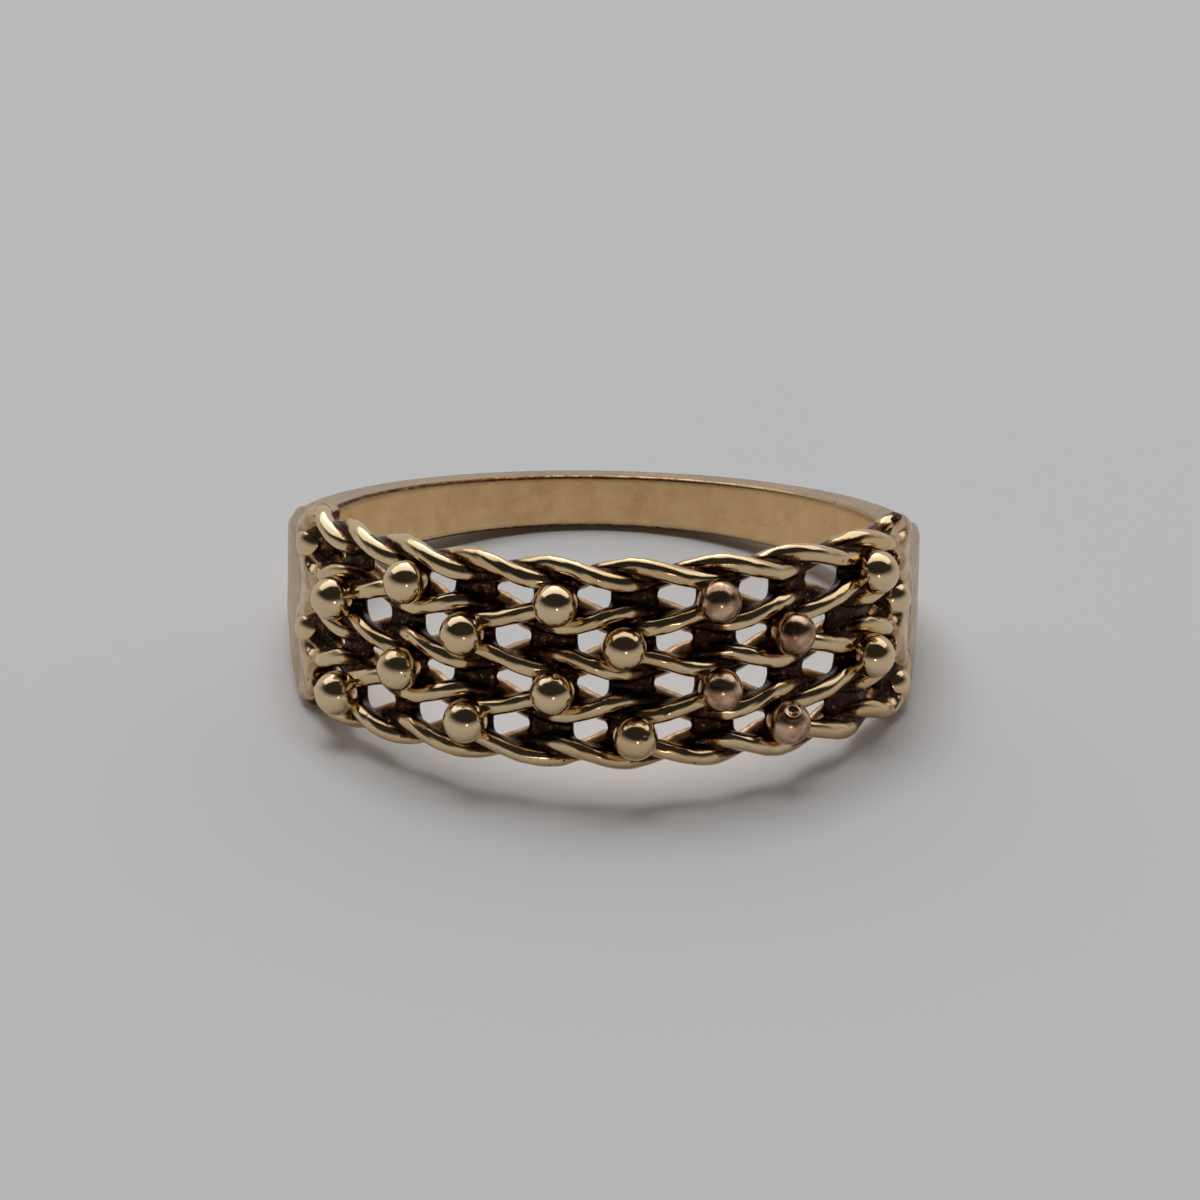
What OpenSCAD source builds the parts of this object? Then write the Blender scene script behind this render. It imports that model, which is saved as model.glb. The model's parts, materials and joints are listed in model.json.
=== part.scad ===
// Keeper ring with a pierced wirework front: five two-ply ropes soldered side by
// side, round granules in the grooves between them, and a plain tapered shank.
// Millimetres, +Z up. The ring lies on its side as it settles by itself: on the
// two outer lobes of its lowest rope and on the back of the shank.

/* [Finger hole] */
// Diameter of the finger hole
bore_d = 18.7; // [18:0.1:19.4]

/* [Ropes] */
// Width of the pierced front, from the top lobes to the bottom lobes
front_w = 7.1; // [6.8:0.05:7.3]
// Diameter of one wire, two of which make a rope
wire_d = 0.62; // [0.58:0.01:0.64]

/* [Granules] */
// Diameter of a soldered granule
granule_d = 1.46; // [1.3:0.02:1.5]
// Diameter of the granules of the two outer columns
end_granule_d = 1.32; // [1.2:0.02:1.32]
// Height of a granule's centre above the middle of the ropes
granule_rise = 0.66; // [0.58:0.02:0.72]
// The same height for the granules of the two outer columns
sunk_rise = 0.05; // [0.05:0.05:0.2]

/* [Solder] */
// Length round the ring of the solder that joins two ropes
web_w = 1.36; // [1.1:0.02:1.5]
// Thickness of that solder through the wall
web_t = 0.5; // [0.4:0.02:0.6]

/* [Shank] */
// Thickness of the shank
shank_t = 1.15; // [1:0.05:1.3]
// Width of the shank at its back
back_w = 1.65; // [1.5:0.05:2.2]
// How far the shank's upper edge stands above its middle, at the sides
side_top = 1.8; // [1.6:0.05:2.2]
// How far its lower edge stands below its middle, at the sides
side_bottom = 1.2; // [1:0.05:1.8]
// Width of a shoulder where the ropes run into it
shoulder_w = 6.6; // [6.2:0.1:6.8]

/* [Hidden] */

// Columns in which neighbouring ropes are soldered together: the angle of each,
// round the ring from the middle of the front. They are set by hand, so not evenly.
column_angles = [-69, -55.5, -41, -26, -10.5, 4.5, 20.5, 36, 53.5, 69];

// Granules: column, gap between ropes counted from the lowest, and how far the
// granule sits off that place, round the ring and across it
granules = [
    [0, 1, -0.6, -0.2],
    [0, 3, -0.55, -0.25],
    [1, 0, -0.05, -0.1],
    [1, 2, -0.3, 0.1],
    [2, 1, 0.25, -0.05],
    [2, 3, 0.45, -0.05],
    [3, 0, 0.05, 0.1],
    [3, 2, -0.1, 0.05],
    [4, 1, 0.1, -0.15],
    [4, 3, 0.15, -0.15],
    [5, 0, 0.05, -0.1],
    [5, 2, -0.35, -0.05],
    [6, 1, -0.1, -0.1],
    [6, 3, -0.2, -0.1],
    [7, 0, -0.4, -0.05],
    [7, 2, -0.3, 0],
    [8, 1, 0.3, -0.05],
    [8, 3, 0.4, -0.2],
    [9, 0, 0.5, -0.4],
    [9, 2, 0.2, -0.3]
];

rope_count = 5;
last = len(column_angles) - 1;
bore_r = bore_d / 2;
outer_r = bore_r + shank_t;
wire_r = wire_d / 2;
// The two wires of a rope overlap by this much, as solder joins them
wire_bite = 0.04;
twist_r = wire_r - wire_bite / 2;
// Corner radius of a six-sided wire with about the area of the round one
corner_r = wire_r * 1.1;
rope_r = bore_r + wire_d;
rope_pitch = (front_w - 2 * (twist_r + corner_r * cos(30))) / (rope_count - 1);
rings_per_column = 5;
// How far the ropes run on past the outer columns, in rings and in degrees a column
end_rings = 1;
end_step = 15;
// The solder stands this far above the middle of the ropes
web_rise = 0.06;

// Each shoulder starts this many degrees past the outer columns and narrows
// to the plain shank over shoulder_fall
shoulder_gap = 2;
shoulder_y = -rope_r * cos(column_angles[last] + shoulder_gap);
shoulder_fall = 3;
shoulder_steps = 6;

// A point at an angle round the ring, at a radius and a height
function at_angle(angle, radius, height) =
    [radius * sin(angle), -radius * cos(angle), height];

// The angle that lies a number of columns along the ropes
function angle_at(columns) =
    columns < 0 ? column_angles[0] + end_step * columns :
    columns > last ? column_angles[last] + end_step * (columns - last) :
    lookup(columns, [for (i = [0:last]) [i, column_angles[i]]]);

// Height of a rope, or of a gap half way between two ropes
function row_height(row) = (row - (rope_count - 1) / 2) * rope_pitch;

function granule_centre(g) =
    at_angle(
        column_angles[g[0]] + g[2] / rope_r * 180 / PI,
        rope_r + (g[0] == 0 || g[0] == last ? sunk_rise : granule_rise),
        row_height(g[1] + 0.5) + g[3]
    );

// Outline across a rope: two wires side by side, four outer corners each,
// with the soldered waist between them
function rope_section() = [
    for (side = [1, -1])
        each concat(
            [for (a = [-90:60:90]) side * [twist_r + corner_r * cos(a), corner_r * sin(a)]],
            [side * [0, corner_r / 2]]
        )
];

// Neighbouring ropes are twisted opposite ways
function turn_way(row) = (row % 2 == 0) ? 1 : -1;

// Corners of a rope, ring by ring: its section makes half a turn from column to column
function rope_points(row) = [
    for (ring = [-end_rings:last * rings_per_column + end_rings])
        let (
            columns = ring / rings_per_column,
            turn = turn_way(row) * 180 * columns
        )
        for (c = rope_section())
            at_angle(
                angle_at(columns),
                rope_r + c[0] * sin(turn) + c[1] * cos(turn),
                row_height(row) + c[0] * cos(turn) - c[1] * sin(turn)
            )
];

// How far the ring leans back to stand on the lowest rope and the back of the shank
lean = max([
    for (p = rope_points(0))
        atan((back_w / 2 + p[2]) / (p[1] - outer_r))
]);
stand_z = -back_w / 2 * cos(lean) - outer_r * sin(lean);
nearest_y = min([
    for (g = granules)
        let (c = granule_centre(g))
            c[1] * cos(lean) + c[2] * sin(lean)
]) - granule_d / 2;
farthest_y = outer_r * cos(lean) + back_w / 2 * sin(lean);

// One two-ply rope, each four-cornered face split along the twist
module rope(row) {
    corners = len(rope_section());
    spans = last * rings_per_column + 2 * end_rings;
    sides = [
        for (i = [0:spans - 1], k = [0:corners - 1])
            let (
                a = i * corners + k,
                b = i * corners + (k + 1) % corners,
                c = b + corners,
                d = a + corners
            )
            each (turn_way(row) > 0 ? [[a, d, b], [d, c, b]] : [[a, d, c], [a, c, b]])
    ];
    near_end = [for (k = [0:corners - 1]) k];
    far_end = [for (k = [corners - 1:-1:0]) spans * corners + k];
    polyhedron(rope_points(row), concat(sides, [near_end, far_end]));
}

// Solder that bridges the gap between two ropes at one column
module web(column, gap) {
    rotate(column_angles[column])
        translate([0, web_t / 2 - rope_r - web_rise, row_height(gap + 0.5)])
            cube([web_w, web_t, rope_pitch - wire_r], center = true);
}

module granule(g) {
    translate(granule_centre(g))
        rotate(column_angles[g[0]])
            sphere(d = g[0] == 0 || g[0] == last ? end_granule_d : granule_d, $fn = 12);
}

// The pierced front, brought to its exact width
module wirework() {
    resize([0, 0, front_w]) {
        for (row = [0:rope_count - 1])
            rope(row);
        for (column = [0:last], gap = [0:rope_count - 2])
            web(column, gap);
        for (g = granules)
            granule(g);
    }
}

// How far the shank's edge lies from its middle, at a distance from the middle of
// the finger hole, where side is that distance at the shank's sides
function half_width(y, side) =
    let (
        plain = back_w / 2 + (side - back_w / 2) * (outer_r - y) / outer_r,
        flare = max(0, 1 - (y - shoulder_y) / shoulder_fall)
    )
    plain + (shoulder_w / 2 - plain) * flare * flare * (3 - 2 * flare);

// Plain shank and both shoulders, one bent strip whose width follows half_width
module shank() {
    ys = concat(
        [for (i = [0:shoulder_steps]) shoulder_y + shoulder_fall * i / shoulder_steps],
        [outer_r + 1]
    );
    upper = [for (y = ys) [y, half_width(y, side_top)]];
    lower = [for (i = [len(ys) - 1:-1:0]) [ys[i], -half_width(ys[i], side_bottom)]];
    intersection() {
        difference() {
            cylinder(h = front_w, r = outer_r, center = true, $fn = 96);
            cylinder(h = front_w + 1, r = bore_r, center = true, $fn = 96);
        }
        rotate([90, 0, 90])
            linear_extrude(height = 2 * outer_r + 2, center = true)
                polygon(concat(upper, lower));
    }
}

// The whole ring, leaned back until it stands by itself, over the middle of its base
module ring() {
    color([0.78, 0.62, 0.38])
        translate([0, -(nearest_y + farthest_y) / 2, -stand_z])
            rotate([-lean, 0, 0]) {
                shank();
                wirework();
            }
}

ring();
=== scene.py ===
import bisect
import json
import math

import bmesh
import bpy
from mathutils import Matrix, Vector, noise
from mathutils.bvhtree import BVHTree


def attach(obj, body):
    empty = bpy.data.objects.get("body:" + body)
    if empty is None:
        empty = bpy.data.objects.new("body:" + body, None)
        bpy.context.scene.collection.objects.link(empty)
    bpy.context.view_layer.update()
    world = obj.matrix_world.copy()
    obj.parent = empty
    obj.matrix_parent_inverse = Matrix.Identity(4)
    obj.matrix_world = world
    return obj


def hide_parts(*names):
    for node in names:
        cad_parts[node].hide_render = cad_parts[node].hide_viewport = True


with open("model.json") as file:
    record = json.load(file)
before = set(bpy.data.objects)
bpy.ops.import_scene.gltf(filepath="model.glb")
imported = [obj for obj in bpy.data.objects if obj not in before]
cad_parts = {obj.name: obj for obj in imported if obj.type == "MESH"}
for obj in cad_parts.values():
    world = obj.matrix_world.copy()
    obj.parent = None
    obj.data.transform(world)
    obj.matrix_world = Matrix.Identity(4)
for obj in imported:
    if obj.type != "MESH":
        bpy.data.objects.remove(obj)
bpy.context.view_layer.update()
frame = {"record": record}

# The ring lies on its side and leans back on its lowest rope and the back of its
# band. Its pieces are shaped upright round the finger hole, and stand turns them
# all at the end to where the ring lies. The camera looks at it from the front.
mm = 0.001
hole = next(m for m in frame["record"]["mounts"] if m["name"] == "finger_hole")
hole_r = hole["dims"]["r_mm"] * mm
lean = math.atan2(hole["axis"][1], hole["axis"][2])
stand = Matrix.Translation(hole["pos_m"]) @ Matrix.Rotation(-lean, 4, "X")

view_rise = math.radians(16.23)
view_turn = math.radians(1.4)
view_roll = math.radians(1.12)
view_distance = 300 * mm
picture_px = 1200
px_per_mm = 30.02
hole_middle_px = (603, 577.5)
aim_px = Vector((picture_px / 2 - hole_middle_px[0], hole_middle_px[1] - picture_px / 2, 0))
aim = aim_px / px_per_mm * mm
camera = bpy.data.objects.new("camera", bpy.data.cameras.new("camera"))
camera.data.sensor_width = 36
camera.data.lens = camera.data.sensor_width * px_per_mm * view_distance / mm / picture_px
camera.data.clip_start = 10 * mm
camera.data.clip_end = 20
camera.matrix_world = (
    stand
    @ Matrix.Rotation(-view_turn, 4, "Z")
    @ Matrix.Rotation(math.pi / 2 - view_rise, 4, "X")
    @ Matrix.Rotation(view_roll, 4, "Z")
    @ Matrix.Translation(aim + Vector((0, 0, view_distance)))
)
bpy.context.scene.collection.objects.link(camera)
bpy.context.scene.camera = camera


# Band: a flat strip of gold bent round the finger, 1.15 mm thick. It is narrow at
# the back and flares in front into two shoulders, to which the ropes' ends are
# soldered. Long wear has rounded its edges and dulled its inside.
band_t = 1.15 * mm
outer_r = hole_r + band_t
back_w = 1.65 * mm
# How far its upper and lower edges stand from its middle, at the ring's sides
side_top = 1.8 * mm
side_bottom = 1.2 * mm
# The shoulders end at this angle from the middle of the front
shoulder_angle = math.radians(71)
shoulder_w = 6.6 * mm
shoulder_y = -3.25 * mm
shoulder_fall = 3 * mm
edge_round = 0.14 * mm
edge_segments = 4
cuts_across = 14
cuts_through = 4
band_steps = 220
rope_pitch = 1.482 * mm
# A shoulder's end reaches on by tongue where solder fills the gap between two
# ropes, and stands back by notch at a granule
tongue = math.radians(2)
notch = math.radians(3.5)
tongue_fade = math.radians(12)
filled_on_rope = 0.7
# How far the front's upper part droops, and between which angles that grows
left_droop = 0.12 * mm
right_droop = 0.24 * mm
droop_start = math.radians(38)
droop_full = math.radians(64)
droop_fade = math.radians(20)
worn_corner = 0.24 * mm


def share_of_way(value, start, end):
    return min(1, max(0, (value - start) / (end - start)))


def half_width(y, z):
    """How far the band's edge on z's side lies from its middle, y behind the hole's middle."""
    side = side_top if z > 0 else side_bottom
    plain = back_w / 2 + (side - back_w / 2) * (outer_r - y) / outer_r
    flare = min(1, max(0, 1 - (y - shoulder_y) / shoulder_fall))
    return plain + (shoulder_w / 2 - plain) * flare * flare * (3 - 2 * flare)


def filled_end(x, z):
    """1 where solder fills the gap between two ropes' ends, less on a rope, -1 at a granule."""
    gap = -math.copysign(1, x) * math.sin(math.pi * z / rope_pitch)
    return gap + filled_on_rope * (1 - abs(gap))


def droop_at(angle, height):
    """How far the front sags towards its two ends, which is most at its top."""
    level = share_of_way(height, -shoulder_w / 2, shoulder_w / 2)
    full = right_droop if angle > 0 else left_droop
    return full * level * share_of_way(abs(angle), droop_start, droop_full)


def shoulder_drop(x, height):
    """Droop of a shoulder. The right one's upper corner is worn away as well."""
    worn = worn_corner * share_of_way(height, 0, shoulder_w / 2) ** 2 if x > 0 else 0
    return droop_at(math.copysign(shoulder_angle, x), height) + worn


def add_piece(bm, name, material):
    """Makes a finished shape a piece of the ring, with its faces turned outwards."""
    bmesh.ops.recalc_face_normals(bm, faces=bm.faces)
    if bm.calc_volume(signed=True) < 0:
        bmesh.ops.reverse_faces(bm, faces=bm.faces)
    for face in bm.faces:
        face.smooth = True
    mesh = bpy.data.meshes.new(name)
    bm.to_mesh(mesh)
    bm.free()
    mesh.materials.append(material)
    piece = bpy.data.objects.new(name, mesh)
    bpy.context.scene.collection.objects.link(piece)
    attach(piece, "root")
    return piece


def noise_node(tree, position, scale, detail=3, roughness=0.55):
    node = tree.nodes.new("ShaderNodeTexNoise")
    node.inputs["Scale"].default_value = scale
    node.inputs["Detail"].default_value = detail
    node.inputs["Roughness"].default_value = roughness
    tree.links.new(position, node.inputs["Vector"])
    return node.outputs["Fac"]


def attribute_node(tree, name):
    node = tree.nodes.new("ShaderNodeAttribute")
    node.attribute_name = name
    return node.outputs["Fac"]


def set_or_link(tree, socket, value):
    """Gives a socket a plain number or colour, or another node's output."""
    if isinstance(value, (int, float, tuple)):
        socket.default_value = value
    else:
        tree.links.new(value, socket)


def maths(tree, operation, first, second=0.0, third=0.0):
    node = tree.nodes.new("ShaderNodeMath")
    node.operation = operation
    for socket, value in zip(node.inputs, (first, second, third)):
        set_or_link(tree, socket, value)
    return node.outputs[0]


def spread(tree, value, low, high, to_low=0.0, to_high=1.0):
    """Maps value smoothly from low..high to to_low..to_high."""
    node = tree.nodes.new("ShaderNodeMapRange")
    node.interpolation_type = "SMOOTHSTEP"
    for socket, number in zip(node.inputs, (value, low, high, to_low, to_high)):
        set_or_link(tree, socket, number)
    return node.outputs["Result"]


def mixed(tree, share, first, second):
    """Mixes two colours. A Mix node keeps its colour sockets after those for numbers."""
    node = tree.nodes.new("ShaderNodeMix")
    node.data_type = "RGBA"
    for socket, value in zip((node.inputs[0], node.inputs[6], node.inputs[7]), (share, first, second)):
        set_or_link(tree, socket, value)
    return node.outputs[2]


def pits_node(tree, position, scale, size, share, bottom=0.4):
    """Round pits of a size in cells, in a share of the cells, with a share of each flat."""
    node = tree.nodes.new("ShaderNodeTexVoronoi")
    node.inputs["Scale"].default_value = scale
    tree.links.new(position, node.inputs["Vector"])
    dot = spread(tree, node.outputs["Distance"], size, size * bottom)
    return maths(tree, "MULTIPLY", dot, maths(tree, "LESS_THAN", node.outputs["Color"], share))


# Tarnish and painted shade follow each piece's dirt attribute, which holds painted shade as
# well as dirt, and break into flecks at its edge. A thin film is orange, a thicker one brown,
# and the thickest nearly black, with rusty patches and specks of bare gold; painted shade
# takes the same colours. Small pits hold some dirt everywhere.
orange_film = (0.5, 0.28, 0.13, 1)
brown_film = (0.2, 0.085, 0.03, 1)
dark_film = (0.055, 0.023, 0.011, 1)
black_film = (0.02, 0.0105, 0.0065, 1)
rust_brown = (0.2, 0.072, 0.024, 1)
speck_gold = (0.42, 0.2, 0.07, 1)
fleck_scale = 3400
rust_scale = 3200
speck_scale = 5200
pit_scale = 2300
pit_size = 0.13
pit_share = 0.34

tarnish_and_shade = bpy.data.node_groups.new("tarnish_and_shade", "ShaderNodeTree")
for label, value in (("Starts", 0.36), ("Full", 0.85), ("Fleck", 0.55), ("Pits", 0.5)):
    dial = tarnish_and_shade.interface.new_socket(label, in_out="INPUT", socket_type="NodeSocketFloat")
    dial.default_value = value
tarnish_and_shade.interface.new_socket("Mask", in_out="OUTPUT", socket_type="NodeSocketFloat")
tarnish_and_shade.interface.new_socket("Stain_and_shade", in_out="OUTPUT", socket_type="NodeSocketColor")
given = tarnish_and_shade.nodes.new("NodeGroupInput").outputs
place = tarnish_and_shade.nodes.new("ShaderNodeTexCoord").outputs["Object"]
flecks = maths(tarnish_and_shade, "SUBTRACT", noise_node(tarnish_and_shade, place, fleck_scale, 5, 0.68), 0.5)
# The dirt attribute also holds painted shade, so this mask and the film colours paint shade as well as
# tarnish
broken = maths(tarnish_and_shade, "MULTIPLY_ADD", flecks, given["Fleck"], attribute_node(tarnish_and_shade, "dirt_and_shade"))
grime_and_shade = spread(tarnish_and_shade, broken, given["Starts"], given["Full"])
pits = pits_node(tarnish_and_shade, place, pit_scale, pit_size, pit_share)
film_and_shade = maths(tarnish_and_shade, "MAXIMUM", grime_and_shade, maths(tarnish_and_shade, "MULTIPLY", pits, given["Pits"]))
ramp = tarnish_and_shade.nodes.new("ShaderNodeValToRGB")
ramp.color_ramp.elements[0].position = 0.05
ramp.color_ramp.elements[0].color = orange_film
ramp.color_ramp.elements[1].position = 1
ramp.color_ramp.elements[1].color = black_film
ramp.color_ramp.elements.new(0.3).color = brown_film
ramp.color_ramp.elements.new(0.6).color = dark_film
tarnish_and_shade.links.new(film_and_shade, ramp.inputs["Fac"])
rust = spread(tarnish_and_shade, noise_node(tarnish_and_shade, place, rust_scale, 6, 0.75), 0.52, 0.66, 0.0, 0.8)
shallow = spread(tarnish_and_shade, broken, 0.95, 1.2, 1.0, 0.25)
rust_share = maths(tarnish_and_shade, "MULTIPLY", rust, shallow)
rusty = mixed(tarnish_and_shade, rust_share, ramp.outputs["Color"], rust_brown)
specks = spread(tarnish_and_shade, noise_node(tarnish_and_shade, place, speck_scale, 3, 0.7), 0.6, 0.7, 0.0, 0.8)
leaving = tarnish_and_shade.nodes.new("NodeGroupOutput").inputs
tarnish_and_shade.links.new(film_and_shade, leaving["Mask"])
tarnish_and_shade.links.new(mixed(tarnish_and_shade, specks, rusty, speck_gold), leaving["Stain_and_shade"])

# Wear makes the gold smoother in some places than its roughness and rougher in others
wear_scale = 1800
wear_smoothest = 0.7
wear_roughest = 1.5
scratch_scale = 2400
scratch_depth = 0.02 * mm
# What the dull finger side and dirt add to the gold's roughness and scratches
filed_roughness = 0.24
filed_scratch = 0.5
dirt_roughness = 0.12
dirt_scratch = 0.7


def gold(name, colour, blotch, blotch_size, roughness, scratch, filed, filed_grain, pitted=0.5):
    """Nine carat gold: its clean colour and shine, and where it has tarnished or is painted with
    shade.
    """
    material = bpy.data.materials.new(name)
    material.use_nodes = True
    tree = material.node_tree
    shader = tree.nodes["Principled BSDF"]
    shader.inputs["Metallic"].default_value = 1
    place = tree.nodes.new("ShaderNodeTexCoord").outputs["Object"]
    dark = tree.nodes.new("ShaderNodeGroup")
    dark.node_tree = tarnish_and_shade
    dark.inputs["Pits"].default_value = pitted
    skin = attribute_node(tree, "finger_side")
    tone = spread(tree, noise_node(tree, place, 1 / blotch_size, 3), 0.4, 0.65)
    bright = mixed(tree, tone, colour, blotch)
    mottle = spread(tree, noise_node(tree, place, 1 / filed_grain, 5, 0.7), 0.35, 0.65)
    clean = mixed(tree, skin, bright, mixed(tree, mottle, *filed))
    share = spread(tree, dark.outputs["Mask"], 0.0, 0.25)
    tree.links.new(mixed(tree, share, clean, dark.outputs["Stain_and_shade"]), shader.inputs["Base Color"])
    wear = noise_node(tree, place, wear_scale, 5, 0.7)
    worn = spread(tree, wear, 0.3, 0.8, roughness * wear_smoothest, roughness * wear_roughest)
    rougher = maths(tree, "MULTIPLY_ADD", skin, filed_roughness, worn)
    roughest = maths(tree, "MULTIPLY_ADD", dark.outputs["Mask"], dirt_roughness, rougher)
    tree.links.new(roughest, shader.inputs["Roughness"])
    bump = tree.nodes.new("ShaderNodeBump")
    bump.inputs["Distance"].default_value = scratch_depth
    filed_marks = maths(tree, "MULTIPLY_ADD", skin, filed_scratch, scratch)
    marks = maths(tree, "MULTIPLY_ADD", dark.outputs["Mask"], dirt_scratch, filed_marks)
    tree.links.new(marks, bump.inputs["Strength"])
    tree.links.new(noise_node(tree, place, scratch_scale, 6, 0.7), bump.inputs["Height"])
    tree.links.new(bump.outputs["Normal"], shader.inputs["Normal"])
    return material


# The two tones of the dull inside, and how large their patches are
dull_inside = ((1, 0.73, 0.41, 1), (0.92, 0.65, 0.34, 1))
dull_inside_grain = 0.9 * mm
band_gold = gold(
    "band_gold", colour=(0.54, 0.37, 0.2, 1), blotch=(0.46, 0.31, 0.17, 1), blotch_size=1.6 * mm,
    roughness=0.3, scratch=0.5, filed=dull_inside, filed_grain=dull_inside_grain, pitted=0,
)

# The section is a rounded rectangle, spun round the back from shoulder to shoulder
bm = bmesh.new()
bmesh.ops.create_grid(bm, x_segments=1, y_segments=1, size=0.5)
bmesh.ops.scale(bm, vec=(band_t, shoulder_w, 1), verts=bm.verts)
bmesh.ops.bevel(
    bm, geom=bm.verts, offset=edge_round, offset_type="OFFSET", affect="VERTICES",
    segments=edge_segments, profile=0.5, material=-1,
)
bmesh.ops.delete(bm, geom=bm.faces, context="FACES_ONLY")
straight = [e for e in bm.edges if e.calc_length() > 3 * edge_round]
long_sides = [e for e in straight if e.calc_length() > band_t]
short_sides = [e for e in straight if e.calc_length() < band_t]
bmesh.ops.subdivide_edges(bm, edges=long_sides, cuts=cuts_across)
bmesh.ops.subdivide_edges(bm, edges=short_sides, cuts=cuts_through)
bmesh.ops.rotate(bm, matrix=Matrix.Rotation(math.pi / 2, 3, "X"), verts=bm.verts)
bmesh.ops.translate(bm, vec=(hole_r + band_t / 2, 0, 0), verts=bm.verts)
bmesh.ops.rotate(bm, matrix=Matrix.Rotation(shoulder_angle - math.pi / 2, 3, "Z"), verts=bm.verts)
bmesh.ops.spin(
    bm, geom=bm.verts[:] + bm.edges[:], cent=(0, 0, 0), axis=(0, 0, 1),
    angle=2 * (math.pi - shoulder_angle), steps=band_steps, use_duplicate=False,
)
bmesh.ops.holes_fill(bm, edges=[e for e in bm.edges if e.is_boundary], sides=0)
flat_half = shoulder_w / 2 - edge_round
for vert in bm.verts:
    past_end = math.atan2(abs(vert.co.x), -vert.co.y) - shoulder_angle
    filled = filled_end(vert.co.x, vert.co.z)
    shift = max(0, filled) * tongue + min(0, filled) * notch
    shift *= (1 - share_of_way(past_end, 0, tongue_fade)) ** 2
    shift *= share_of_way(vert.co.xy.length, hole_r, outer_r)
    vert.co.xy = Matrix.Rotation(-math.copysign(1, vert.co.x) * shift, 2) @ vert.co.xy
    half = half_width(vert.co.y, vert.co.z)
    height = abs(vert.co.z)
    if height <= flat_half:
        fitted = height * (half - edge_round) / flat_half
    else:
        fitted = half - shoulder_w / 2 + height
    vert.co.z = math.copysign(fitted, vert.co.z)
    vert.co.z -= shoulder_drop(vert.co.x, vert.co.z) * (1 - share_of_way(past_end, 0, droop_fade))
band = add_piece(bm, "band", band_gold)
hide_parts("ring")


# Ropes: each is two round wires twisted together, every second one the other way,
# with solder in the groove between them. Five lie side by side round the front, sink
# into the shoulders at their ends, and were filed flat on the finger's side.
wire_r = 0.31 * mm
twist_r = 0.29 * mm
groove_r = 0.15 * mm
rope_r = hole_r + 2 * wire_r
rope_count = 5
rope_steps = 380
rope_sides = 56
rope_end = math.radians(76.5)
# The ends sink into the shoulders, and grow thinner and draw together as they do
sink_start = math.radians(70)
sink_depth = 0.16 * mm
end_thinning = 0.15
end_gathering = 0.05
# Unevenness of the wires as a share of their radius, its finer part as a share of
# it, and the size of its lumps along the rope
unevenness = 0.06
finer_share = 0.12
finer_scale = 3
lump_scale = 0.45
lumps_apart = 9
# Filing widens a wire's inner side towards a neighbour and narrows it at an edge
filed_spread = 0.62
filed_narrow = -0.3
filed_r = hole_r + 0.06 * mm
worn_half = 3.55 * mm
column_angles = [math.radians(a) for a in (-69, -55.5, -41, -26, -10.5, 4.5, 20.5, 36, 53.5, 69)]
last = len(column_angles) - 1


def at_angle(angle, radius, height):
    """A point at an angle round the ring from the middle of its front."""
    return Vector((radius * math.sin(angle), -radius * math.cos(angle), height))


def column_slope(i):
    """Columns per radian at a column, evened out between the spaces beside it."""
    before, after = max(i - 1, 0), min(i + 1, last)
    return (after - before) / (column_angles[after] - column_angles[before])


def columns_at(angle):
    """How many columns along the ropes an angle lies, without a kink at the columns."""
    if angle <= column_angles[0]:
        return (angle - column_angles[0]) * column_slope(0)
    if angle >= column_angles[last]:
        return last + (angle - column_angles[last]) * column_slope(last)
    i = bisect.bisect_right(column_angles, angle) - 1
    space = column_angles[i + 1] - column_angles[i]
    t = (angle - column_angles[i]) / space
    ease = t * t * (3 - 2 * t)
    start = t * (1 - t) * (1 - t) * space * column_slope(i)
    end = t * t * (t - 1) * space * column_slope(i + 1)
    return i + ease + start + end


def two_wires(angle):
    """Radius of the rope's outline: two wires side by side and solder in the groove."""
    far = twist_r * abs(math.cos(angle))
    high = twist_r * math.sin(angle)
    wires = far + math.sqrt(max(wire_r * wire_r - high * high, 0))
    return math.hypot(wires, groove_r * math.sin(angle) ** 2)


def row_height(row):
    return (row - (rope_count - 1) / 2) * rope_pitch


# The same on the front's filed inside, which the ropes, granules and solder share
filed_front = ((0.78, 0.54, 0.32, 1), (0.42, 0.25, 0.14, 1))
filed_front_grain = 0.3 * mm
rope_gold = gold(
    "rope_gold", colour=(0.77, 0.58, 0.34, 1), blotch=(0.68, 0.47, 0.25, 1), blotch_size=3 * mm,
    roughness=0.12, scratch=0.3, filed=filed_front, filed_grain=filed_front_grain,
)

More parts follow.
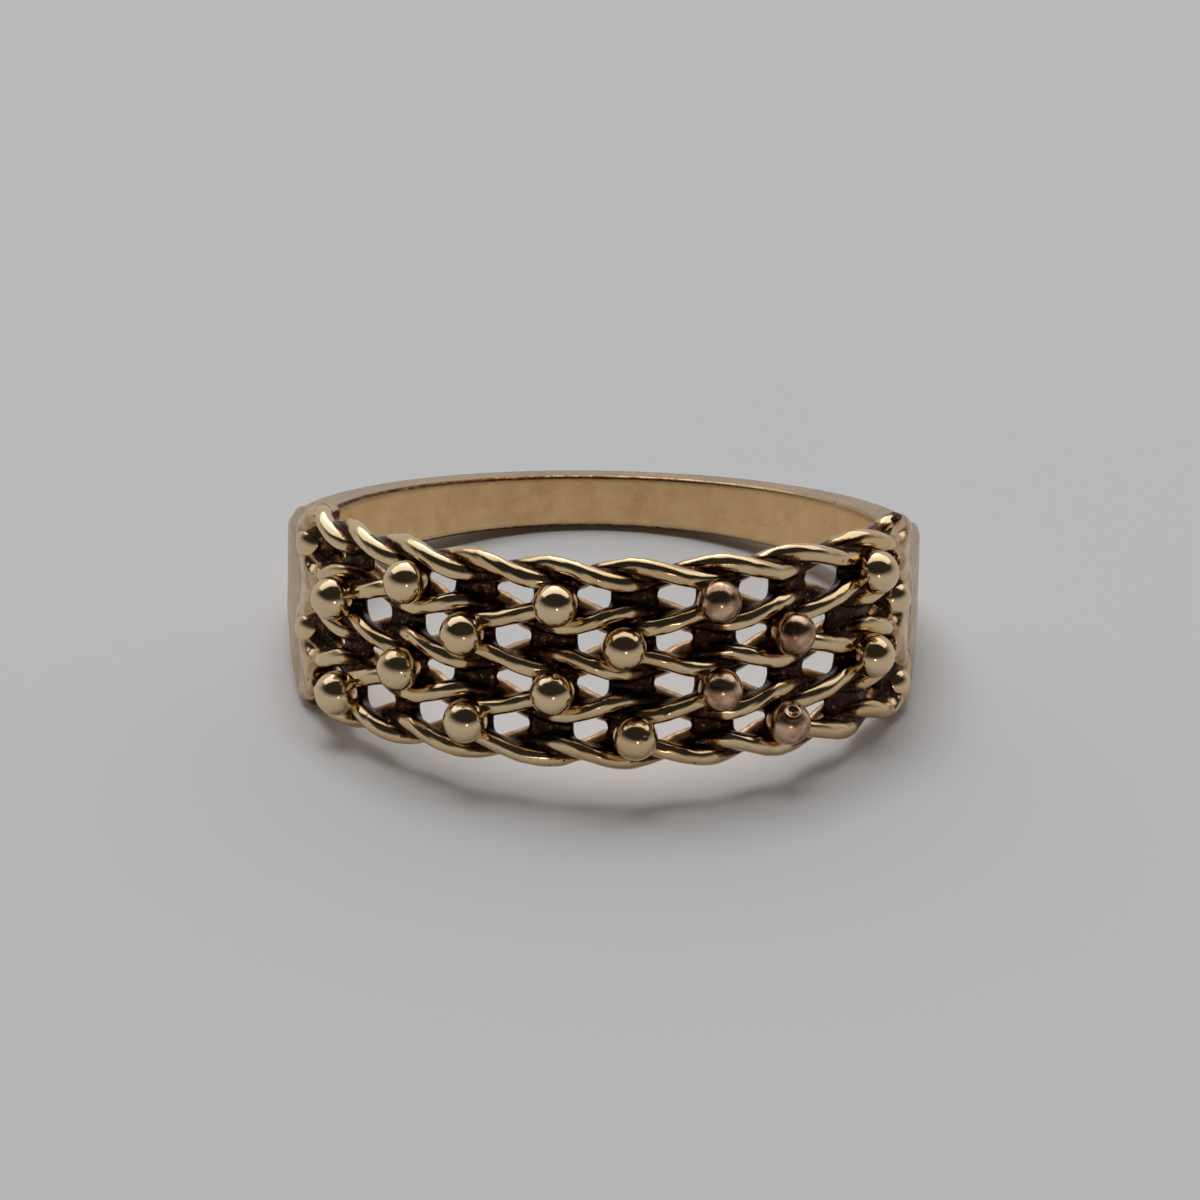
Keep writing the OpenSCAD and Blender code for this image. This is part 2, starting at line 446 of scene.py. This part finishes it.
ropes = []
for row in range(rope_count):
    turn_way = 1 if row % 2 == 0 else -1
    bm = bmesh.new()
    bmesh.ops.create_circle(bm, segments=rope_sides, radius=1)
    for vert in bm.verts:
        vert.co *= two_wires(math.atan2(vert.co.y, vert.co.x))
    bmesh.ops.rotate(bm, matrix=Matrix.Rotation(math.pi / 2, 3, "X"), verts=bm.verts)
    bmesh.ops.translate(bm, vec=(rope_r, 0, 0), verts=bm.verts)
    bmesh.ops.rotate(bm, matrix=Matrix.Rotation(-rope_end - math.pi / 2, 3, "Z"), verts=bm.verts)
    bmesh.ops.spin(
        bm, geom=bm.verts[:] + bm.edges[:], cent=(0, 0, 0), axis=(0, 0, 1),
        angle=2 * rope_end, steps=rope_steps, use_duplicate=False,
    )
    bmesh.ops.holes_fill(bm, edges=[e for e in bm.edges if e.is_boundary], sides=0)
    for vert in bm.verts:
        angle = math.atan2(vert.co.x, -vert.co.y)
        out = vert.co.xy.length - rope_r
        up = vert.co.z
        along = angle * rope_r / wire_r
        lump = Vector((along * lump_scale, up / wire_r, out / wire_r + lumps_apart * row))
        lumpy = noise.noise(lump) + finer_share * noise.noise(lump * finer_scale)
        sunk = share_of_way(abs(angle), sink_start, rope_end)
        swell = 1 - end_thinning * sunk + unevenness * lumpy
        turn = turn_way * math.pi * columns_at(angle) + math.pi / 2
        rise = swell * (up * math.sin(turn) + out * math.cos(turn))
        aside = swell * (up * math.cos(turn) - out * math.sin(turn))
        filed = share_of_way(-rise, 0, 2 * wire_r)
        has_neighbour = 0 <= row + math.copysign(1, aside) < rope_count
        aside *= 1 + (filed_spread if has_neighbour else filed_narrow) * filed
        radius = max(filed_r, rope_r + rise - sink_depth * sunk)
        height = (row_height(row) + aside) * (1 - end_gathering * sunk)
        height = min(max(height - droop_at(angle, row_height(row)), -worn_half), worn_half)
        vert.co = at_angle(angle, radius, height)
    ropes.append(add_piece(bm, f"rope_{row}", rope_gold))


# Granules: round beads of gold, soldered into the grooves where two ropes meet, in
# every second groove and one groove over at the next joint. Four have kept a
# coppery skin. One burst in the melting, which left a crater, and some are dented.
granule_r = 0.73 * mm
granule_rise = 0.66 * mm
granule_unevenness = 0.012
# The granules of the two outer columns are smaller and sit deeper
end_granule_r = 0.66 * mm
sunk_rise = 0.05 * mm
# Column, gap between ropes counted from the lowest, and how far the granule sits
# off that place, round the ring and across it, in millimetres
granule_places = [
    (0, 1, -0.6, -0.2),
    (0, 3, -0.55, -0.25),
    (1, 0, -0.05, -0.1),
    (1, 2, -0.3, 0.1),
    (2, 1, 0.25, -0.05),
    (2, 3, 0.45, -0.05),
    (3, 0, 0.05, 0.1),
    (3, 2, -0.1, 0.05),
    (4, 1, 0.1, -0.15),
    (4, 3, 0.15, -0.15),
    (5, 0, 0.05, -0.1),
    (5, 2, -0.35, -0.05),
    (6, 1, -0.1, -0.1),
    (6, 3, -0.2, -0.1),
    (7, 0, -0.4, -0.05),
    (7, 2, -0.3, 0),
    (8, 1, 0.3, -0.05),
    (8, 3, 0.4, -0.2),
    (9, 0, 0.5, -0.4),
    (9, 2, 0.2, -0.3),
]
coppery = {(6, 1), (6, 3), (7, 0), (7, 2)}
# Dents: column, gap, the direction of the dent from the granule's middle, and its
# width and depth as shares of the granule's radius
dents = [
    (7, 0, (0.15, -0.65, 0.74), 0.34, 0.16),
    (2, 1, (0.36, -0.93, -0.1), 0.17, 0.07),
    (2, 1, (0.16, -0.95, -0.24), 0.13, 0.06),
    (4, 1, (0.15, -0.42, 0.89), 0.2, 0.08),
    (8, 3, (0.15, -0.92, -0.36), 0.22, 0.06),
    (5, 0, (0.4, -0.87, 0.28), 0.12, 0.05),
]
# A dent is a pit with a low raised rim, and reaches out to dent_reach widths
pit_width = 0.6
rim_width = 0.3
rim_height = 0.25
dent_reach = 1.5

granule_gold = gold(
    "granule_gold", colour=(0.78, 0.59, 0.36, 1), blotch=(0.72, 0.51, 0.29, 1), blotch_size=3 * mm,
    roughness=0.13, scratch=0.14, filed=filed_front, filed_grain=filed_front_grain,
)
copper_gold = gold(
    "copper_gold", colour=(0.68, 0.47, 0.32, 1), blotch=(0.32, 0.165, 0.095, 1), blotch_size=0.6 * mm,
    roughness=0.17, scratch=0.5, filed=filed_front, filed_grain=filed_front_grain,
)


def radius_of(column):
    return end_granule_r if column in (0, last) else granule_r


def granule_centre(column, gap, along, across):
    rise = sunk_rise if column in (0, last) else granule_rise
    angle = column_angles[column] + along * mm / rope_r
    return at_angle(angle, rope_r + rise, row_height(gap + 0.5) + across * mm)


def dented(column, gap, out):
    """How far a granule's dents move its surface in the direction out."""
    moved = 0
    for dent_column, dent_gap, toward, width, depth in dents:
        off = (out - Vector(toward).normalized()).length / width
        if (dent_column, dent_gap) == (column, gap) and off < dent_reach:
            rim = rim_height * math.exp(-((off - 1) / rim_width) ** 2)
            moved += depth * (rim - math.exp(-(off / pit_width) ** 2))
    return moved


bm = bmesh.new()
bmesh.ops.create_uvsphere(bm, u_segments=64, v_segments=44, radius=1)
ball = bpy.data.meshes.new("ball")
bm.to_mesh(ball)
bm.free()

granules = []
for reddish in (False, True):
    bm = bmesh.new()
    for column, gap, along, across in granule_places:
        if ((column, gap) in coppery) != reddish:
            continue
        before = len(bm.verts)
        bm.from_mesh(ball)
        bm.verts.ensure_lookup_table()
        centre = granule_centre(column, gap, along, across)
        for vert in bm.verts[before:]:
            out = vert.co.normalized()
            swell = granule_unevenness * noise.noise(out * 1.5 + Vector((column, gap, 0)))
            swell += dented(column, gap, out)
            vert.co = centre + out * radius_of(column) * (1 + swell)
    if reddish:
        granules.append(add_piece(bm, "granules_coppery", copper_gold))
    else:
        granules.append(add_piece(bm, "granules", granule_gold))


# Solder: gold that ran, when molten, between the ropes, round the foot of each
# granule and into the shoulders. It bridges two ropes at each column and draws in
# beside it, which leaves rounded windows. It is one skin, sunk inside the wires.
web_w = 1.36 * mm
web_t = 0.56 * mm
web_r = rope_r - 0.14 * mm
web_cuts = 5
# Widths of the bridges as shares of web_w: the usual one, and those that differ
web_share = 1.2
odd_web_shares = {(1, 0): 0.85, (1, 2): 0.85, (2, 0): 0.9, (8, 0): 1.9, (8, 2): 1.9}
web_unevenness = 0.16
# A bridge is thinner in its middle and flares where it meets the ropes
web_flare = 0.2
web_waist = 0.8
web_thickening = 0.5
web_bite = 0.35 * wire_r
# Round the ropes' ends the solder runs from end_start, where it stands proud of
# the shoulder, to end_stop, where it has sunk below it
end_start = math.radians(70.5)
end_stop = math.radians(78)
end_tongue = math.radians(4.5)
end_notch = math.radians(4)
end_proud = 0.06 * mm
end_sunk = 0.16 * mm
end_cuts = 15
foot_share = 0.84
# Size of the skin's mesh in millimetres and how often it is smoothed
skin_step = 0.098
skin_smoothing = 17
# The skin lies skin_inset inside the wires in front and end_cover over their ends
skin_inset = 0.03 * mm
end_cover = 0.06 * mm
cover_from = math.radians(65)
cover_full = math.radians(69)

solder_gold = gold(
    "solder_gold", colour=(0.7, 0.5, 0.31, 1), blotch=(0.45, 0.27, 0.14, 1), blotch_size=0.5 * mm,
    roughness=0.16, scratch=0.5, filed=filed_front, filed_grain=filed_front_grain,
)


def web_point(column, gap, x, y, z):
    """Where a point of a two-unit cube lies on the bridge at a column and gap."""
    round_x = x * math.sqrt(1 - y * y / 2)
    round_y = y * math.sqrt(1 - x * x / 2)
    uneven = web_unevenness * noise.noise(Vector((3.1 * column, 2.3 * gap, 1.5 + 0.4 * round_x)))
    share = odd_web_shares.get((column, gap), web_share) + web_flare * z * z + uneven
    angle = column_angles[column] + round_x * share * web_w / 2 / web_r
    radius = web_r + round_y * (web_waist + web_thickening * z * z) * web_t / 2
    height = row_height(gap + 0.5) + z * (rope_pitch / 2 - web_bite)
    return angle, radius, height - droop_at(angle, height)


def end_point(side, x, y, z):
    """Where a point of a two-unit cube lies on the solder of a shoulder, -1 left or 1 right."""
    back = (x + 1) / 2
    angle = end_start + (end_stop - end_start) * back
    proud = end_proud - (end_proud + end_sunk) * back
    radius = hole_r + band_t / 2 + y * (band_t / 2 + proud)
    height = z * (half_width(-radius * math.cos(angle), z) + proud)
    filled = filled_end(side, height)
    shift = max(0, filled) * end_tongue + min(0, filled) * end_notch
    drop = shoulder_drop(side, height) * (1 - share_of_way(angle - shoulder_angle, 0, droop_fade))
    return side * (angle - shift * (1 - back) * (y + 1) / 2), radius, height - drop


def block(bm, cuts, moved_point, *which):
    """Adds a two-unit cube of solder, with each point moved to its place."""
    before = len(bm.verts)
    made = bmesh.ops.create_cube(bm, size=2)["verts"]
    edges = list({e for v in made for e in v.link_edges})
    bmesh.ops.subdivide_edges(bm, edges=edges, cuts=cuts, use_grid_fill=True)
    bm.verts.ensure_lookup_table()
    for vert in bm.verts[before:]:
        vert.co = at_angle(*moved_point(*which, *vert.co))


webs = bmesh.new()
for column in range(last + 1):
    for gap in range(rope_count - 1):
        block(webs, web_cuts, web_point, column, gap)
for side in (-1, 1):
    block(webs, end_cuts, end_point, side)
for column, gap, along, across in granule_places:
    centre = granule_centre(column, gap, along, across)
    before = len(webs.verts)
    webs.from_mesh(ball)
    webs.verts.ensure_lookup_table()
    for vert in webs.verts[before:]:
        vert.co = centre + vert.co * foot_share * radius_of(column)
bpy.data.meshes.remove(ball)
webs_mesh = bpy.data.meshes.new("webs")
bmesh.ops.recalc_face_normals(webs, faces=webs.faces)
webs.to_mesh(webs_mesh)
webs.free()

# The blocks and the ropes are fused at a thousand times their size, because the
# remesh has a smallest step
bm = bmesh.new()
for mesh in [webs_mesh] + [piece.data for piece in ropes]:
    bm.from_mesh(mesh)
bmesh.ops.scale(bm, vec=(1 / mm, 1 / mm, 1 / mm), verts=bm.verts)
bpy.data.meshes.remove(webs_mesh)
unfused = bpy.data.meshes.new("unfused")
bm.to_mesh(unfused)
bm.free()
melt = bpy.data.objects.new("melt", unfused)
bpy.context.scene.collection.objects.link(melt)
fuse = melt.modifiers.new("fuse", "REMESH")
fuse.mode = "VOXEL"
fuse.voxel_size = skin_step
flow = melt.modifiers.new("flow", "SMOOTH")
flow.factor = 0.5
flow.iterations = skin_smoothing
bm = bmesh.new()
bm.from_object(melt, bpy.context.evaluated_depsgraph_get())
bpy.data.objects.remove(melt)
bpy.data.meshes.remove(unfused)
bmesh.ops.scale(bm, vec=(mm, mm, mm), verts=bm.verts)
bm.normal_update()
for vert, out in [(v, v.normal.copy()) for v in bm.verts]:
    covered = share_of_way(math.atan2(abs(vert.co.x), -vert.co.y), cover_from, cover_full)
    vert.co += out * (end_cover * covered - skin_inset * (1 - covered))
solder = add_piece(bm, "solder", solder_gold)


# Dirt and painted shade: the oxide and grime of years stay where polishing can't reach,
# far below the worn crests of the wires, and sheltered places are darkened too, partly as
# tarnish and partly as painted shade. Finger side is 1 on the inside, left dull, where
# painted shade darkens it near the shoulders.
shelter_reach = 1.6 * mm
shelter_lift = 0.02 * mm
shelter_looks = 16
shelter_smoothings = 3
# Other pieces take shelter from the skin no farther from them than beside
beside = 0.4 * mm
nearest = 0.01 * mm
# How much painted shade and dirt shelter gives, how much dirt depth gives (with painted
# shade on the band's inner edges), and how much less there is on the solder
# that wear has cleaned between these angles
shelter_shade_and_dirt = 0.6
granule_shelter_shade_and_dirt = 0.35
depth_dirt_and_edge_shade = 0.75
solder_cleaned = 0.7
clean_from = math.radians(70)
clean_full = math.radians(75)
# Places this far below the crests are clean, and dirt is full a further full_depth
# below them. Solder that fills the gaps in front of the shoulders is cleaner.
crest_r = rope_r + 2 * wire_r
crest_half = (rope_count - 1) / 2 * rope_pitch + 2 * wire_r
wire_clean = 0.16 * mm
granule_clean = 0.5 * mm
filled_clean = 0.22 * mm
filled_from = -0.6
full_depth = 0.24 * mm
# The ropes' ends: the finger side is less dull there, and two are darker on the left
ends_from = math.radians(60)
ends_full = math.radians(67)
ends_shine = 0.6
left_ends_darkening = 0.6
# The finger side of the front: how deep it starts and how near the outer ropes' middle
solder_under = 0.2 * mm
under_from = 0.1 * mm
under_full = -0.12 * mm
outer_rope = (rope_count - 1) / 2 * rope_pitch
outer_from = 0.1 * mm
outer_full = 0.15 * mm
# The band: stains at its shoulders, painted shade in a line along its inner edges, which is
# stronger on the left, and painted shade inside it near the shoulders
shoulder_stain = 0.45
stain_reach = math.radians(16)
edge_line = 0.08 * mm
edge_reach = 0.22 * mm
edge_shade = 0.68
left_edge_shade = 0.25
inside_shade = 0.41
inside_unshaded = math.radians(130)
inside_shaded = math.radians(104)

skin = bmesh.new()
skin.from_mesh(solder.data)
skin.normal_update()
skin.faces.ensure_lookup_table()
whole = BVHTree.FromBMesh(skin)

# Directions spread evenly round a point's normal, and the share of them in which
# each point of the skin meets the ring again within reach, an occlusion that is painted as shade and
# dirt
directions = []
for i in range(shelter_looks):
    low = (i + 0.5) / shelter_looks
    turn = i * math.pi * (3 - math.sqrt(5))
    flat = math.sqrt(low)
    directions.append(Vector((flat * math.cos(turn), flat * math.sin(turn), math.sqrt(1 - low))))
shelter = []
for vert in skin.verts:
    facing = vert.normal.to_track_quat("Z", "Y").to_matrix()
    start = vert.co + vert.normal * shelter_lift
    met = sum(whole.ray_cast(start, facing @ d, shelter_reach)[0] is not None for d in directions)
    shelter.append(met / shelter_looks)
for _ in range(shelter_smoothings):
    total = shelter[:]
    count = [1] * len(total)
    for edge in skin.edges:
        a, b = edge.verts[0].index, edge.verts[1].index
        total[a] += shelter[b]
        total[b] += shelter[a]
        count[a] += 1
        count[b] += 1
    shelter = [t / n for t, n in zip(total, count)]


def shelter_beside(point):
    """Shelter at the nearest place of the solder's skin, or none far from it."""
    face_index = whole.find_nearest(point, beside)[2]
    if face_index is None:
        return 0
    near = skin.faces[face_index].verts
    weights = [1 / ((v.co - point).length + nearest) for v in near]
    return sum(w * shelter[v.index] for w, v in zip(weights, near)) / sum(weights)


def band_dirt_and_shade(point, radius, aside):
    """Finger side, depth of dirt with painted shade along the inner edges, and painted shade on the
    inside, at a point of the band.
    """
    to_edge = half_width(point.y, point.z) - abs(point.z)
    inner_edge = share_of_way(to_edge, edge_reach, edge_line)
    inner_edge *= share_of_way(radius, hole_r + edge_reach, hole_r + edge_line)
    finger_side = share_of_way(radius, hole_r + edge_line, hole_r) * (1 - inner_edge)
    depth = shoulder_stain * (1 - share_of_way(aside - shoulder_angle, 0, stain_reach))
    # A line of painted shade along the inner edges, stronger on the left
    depth += edge_shade * inner_edge * (1 - left_edge_shade * point.x / outer_r)
    # Painted shade on the inside near the shoulders
    return finger_side, depth, inside_shade * share_of_way(aside, inside_unshaded, inside_shaded)


def front_dirt(piece, point, radius, aside):
    """Finger side and depth of dirt at a point of a rope, a granule or the solder."""
    near_end = share_of_way(aside, ends_from, ends_full)
    under_r = rope_r - solder_under if piece == solder else rope_r
    finger_side = share_of_way(radius, under_r + under_from, under_r + under_full)
    finger_side *= 1 - ends_shine * near_end
    finger_side *= 1 - share_of_way(abs(point.z), outer_rope - outer_from, outer_rope + outer_full)
    if piece in granules:
        clean_depth = granule_clean
    else:
        filled = max(0, filled_end(point.x, point.z) - filled_from) * near_end
        clean_depth = (0 if piece == solder else wire_clean) + filled_clean * filled
    below = min(crest_r - radius, crest_half - abs(point.z))
    depth = share_of_way(below, clean_depth, clean_depth + full_depth)
    if piece in (ropes[1], ropes[3]) and point.x < 0:
        depth += left_ends_darkening * near_end
    return finger_side, depth


for piece in [band, solder] + ropes + granules:
    points = [v.co for v in piece.data.vertices]
    sheltered = shelter if piece == solder else [shelter_beside(p) for p in points]
    by_shelter = granule_shelter_shade_and_dirt if piece in granules else shelter_shade_and_dirt
    dirt_and_shade = []
    finger_sides = []
    for point, hidden in zip(points, sheltered):
        radius = point.xy.length
        aside = math.atan2(abs(point.x), -point.y)
        if piece == band:
            finger_side, depth, shade_inside = band_dirt_and_shade(point, radius, aside)
        else:
            finger_side, depth = front_dirt(piece, point, radius, aside)
            shade_inside = 0
        finger_sides.append(finger_side)
        cleaned = solder_cleaned * share_of_way(aside, clean_from, clean_full) * (piece == solder)
        # Shelter gives painted shade as well as dirt, and the band's inside near the shoulders gets
        # painted shade
        dirt_and_shade_here = by_shelter * hidden + depth_dirt_and_edge_shade * depth * (1 - finger_side) + shade_inside * finger_side
        dirt_and_shade.append(dirt_and_shade_here * (1 - cleaned))
    piece.data.attributes.new("dirt_and_shade", "FLOAT", "POINT").data.foreach_set("value", dirt_and_shade)
    finger_side_data = piece.data.attributes.new("finger_side", "FLOAT", "POINT").data
    finger_side_data.foreach_set("value", finger_sides)
    piece.data.transform(stand)
skin.free()


# The ring lies on a plain pale surface. A wide soft light hangs high behind it with a
# smaller window below, and the room is dark in front above the table. One lamp lights
# the surface alone, and a small warm one in front puts a glint on each granule.
bm = bmesh.new()
bmesh.ops.create_grid(bm, x_segments=1, y_segments=1, size=3)
floor_mesh = bpy.data.meshes.new("floor")
bm.to_mesh(floor_mesh)
bm.free()
floor_paint = bpy.data.materials.new("floor_paint")
floor_paint.use_nodes = True
floor_shader = floor_paint.node_tree.nodes["Principled BSDF"]
floor_shader.inputs["Base Color"].default_value = (0.84, 0.84, 0.85, 1)
floor_shader.inputs["Roughness"].default_value = 0.9
floor_shader.inputs["Specular IOR Level"].default_value = 0.1
floor_mesh.materials.append(floor_paint)
floor = bpy.data.objects.new("floor", floor_mesh)
bpy.context.scene.collection.objects.link(floor)


def soft_light(name, place, size, strength, colour=(1, 1, 1), on_floor=True, on_metal=True):
    light = bpy.data.lights.new(name, "AREA")
    light.shape = "RECTANGLE"
    light.size, light.size_y = size
    light.energy = strength
    light.color = colour
    lamp = bpy.data.objects.new(name, light)
    lamp.location = place
    lamp.rotation_euler = (-Vector(place)).to_track_quat("-Z", "Y").to_euler()
    lamp.visible_diffuse = on_floor
    lamp.visible_glossy = on_metal
    bpy.context.scene.collection.objects.link(lamp)


soft_light("behind", (0, 0.42, 0.97), (3, 0.9), 7.5, on_floor=False)
soft_light("window", (-0.05, 0.72, 0.84), (0.55, 0.34), 1.15, on_floor=False)
soft_light("above", (-0.1, 0.16, 1), (0.68, 0.68), 4.4, on_metal=False)
soft_light("front_glint", (0.08, -0.5, 0.05), (0.03, 0.03), 0.05, (1, 0.75, 0.55))

world = bpy.data.worlds.new("room")
world.use_nodes = True
room = world.node_tree
outlook = room.nodes.new("ShaderNodeSeparateXYZ")
room.links.new(room.nodes.new("ShaderNodeTexCoord").outputs["Generated"], outlook.inputs["Vector"])
back_wall = spread(room, outlook.outputs["Y"], -0.1, 0.7, 0.025, 0.55)
horizon = spread(room, outlook.outputs["Z"], 0.0, 0.42, 0.42, 0.0)
room.links.new(maths(room, "MAXIMUM", back_wall, horizon), room.nodes["Background"].inputs["Color"])
bpy.context.scene.world = world
bpy.context.scene.view_settings.view_transform = "Standard"
